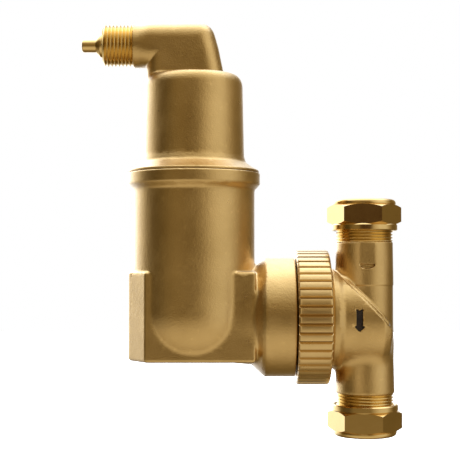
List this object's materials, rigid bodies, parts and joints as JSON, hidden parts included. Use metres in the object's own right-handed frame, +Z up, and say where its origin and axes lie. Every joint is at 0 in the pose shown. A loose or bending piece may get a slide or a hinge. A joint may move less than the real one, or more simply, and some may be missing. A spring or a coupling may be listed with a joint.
{
  "type": "automatic air vent",
  "caption": "Brass automatic air vent and deaerator with a side union ring, a swivelling vertical pipe tee with compression nuts, and a threaded elbow outlet on top.",
  "frame": {"origin": "middle of the body block's flat underside, on the barrel axis", "axes": "+Z up along the barrel, +X from the barrel to the pipe, -Y out of the face that carries the flow arrow"},
  "size_m": [0.1596, 0.0668, 0.2056],
  "materials": {
    "cast_brass": "blasted satin brass casting with fine grain",
    "machined_brass": "bright machined brass with fine turning marks",
    "copper_wire": "drawn copper",
    "stainless_steel": "bright stainless steel",
    "seal_rubber": "black EPDM rubber",
    "black_plastic": "glass-filled black plastic",
    "pale_plastic": "off-white polypropylene"
  },
  "bodies": {
    "separator": {"lower_body": "cast_brass", "upper_housing": "cast_brass", "housing_o_ring": "seal_rubber", "outlet_nozzle": "machined_brass", "nozzle_o_ring": "seal_rubber", "vent_filter": "pale_plastic", "valve_seat": "machined_brass", "valve_seat_o_ring": "seal_rubber", "valve_bracket": "stainless_steel", "lever_pin": "stainless_steel", "core_tube": "copper_wire", "wire_coil_1": "copper_wire", "wire_coil_2": "copper_wire", "wire_coil_3": "copper_wire", "wire_coil_4": "copper_wire", "wire_coil_5": "copper_wire", "wire_coil_6": "copper_wire", "core_spider": "black_plastic", "union_gasket": "seal_rubber"},
    "valve_lever": {"float_lever": "stainless_steel", "valve_pad": "seal_rubber"},
    "float": {"float": "pale_plastic", "float_hook": "stainless_steel"},
    "union_clip": {"union_snap_ring": "stainless_steel"},
    "union_ring": {"union_ring": "cast_brass"},
    "tee": {"pipe_tee": "cast_brass", "inner_flow_tube": "black_plastic"},
    "top_olive": {"olive_top": "machined_brass"},
    "top_nut": {"compression_nut_top": "machined_brass"},
    "bottom_olive": {"olive_bottom": "machined_brass"},
    "bottom_nut": {"compression_nut_bottom": "machined_brass"}
  },
  "joints": [
    {"name": "union_slide", "type": "slide", "parent": "separator", "child": "union_clip", "axis": [1, 0, 0], "range_m": [0, 0.0058]},
    {"name": "ring_turn", "type": "hinge", "parent": "union_clip", "child": "union_ring", "pos_m": [0.06, 0, 0.021], "axis": [1, 0, 0], "range_deg": [0, 900]},
    {"name": "tee_swivel", "type": "hinge", "parent": "union_clip", "child": "tee", "pos_m": [0.066, 0, 0.021], "axis": [1, 0, 0], "continuous": true},
    {"name": "top_olive_slide", "type": "slide", "parent": "tee", "child": "top_olive", "axis": [0, 0, 1], "range_m": [0, 0.0061]},
    {"name": "top_nut_turn", "type": "hinge", "parent": "top_olive", "child": "top_nut", "pos_m": [0.0853, 0, 0.072], "axis": [0, 0, 1], "range_deg": [0, 1440]},
    {"name": "bottom_olive_slide", "type": "slide", "parent": "tee", "child": "bottom_olive", "axis": [0, 0, -1], "range_m": [0, 0.0061]},
    {"name": "bottom_nut_turn", "type": "hinge", "parent": "bottom_olive", "child": "bottom_nut", "pos_m": [0.0853, 0, -0.03], "axis": [0, 0, -1], "range_deg": [0, 1440]},
    {"name": "float_rise", "type": "slide", "parent": "separator", "child": "float", "axis": [0, 0, 1], "range_m": [0, 0.005]},
    {"name": "lever_tilt", "type": "hinge", "parent": "separator", "child": "valve_lever", "pos_m": [0.011, 0, 0.1336], "axis": [0, 1, 0], "range_deg": [0, 14.4]}
  ],
  "couplings": [
    {"joint": "union_slide", "follows": "ring_turn", "m_per_rad": 0.00036749},
    {"joint": "top_olive_slide", "follows": "top_nut_turn", "m_per_rad": 0.00023873},
    {"joint": "bottom_olive_slide", "follows": "bottom_nut_turn", "m_per_rad": 0.00023873},
    {"joint": "lever_tilt", "follows": "float_rise", "rad_per_m": 50}
  ]
}
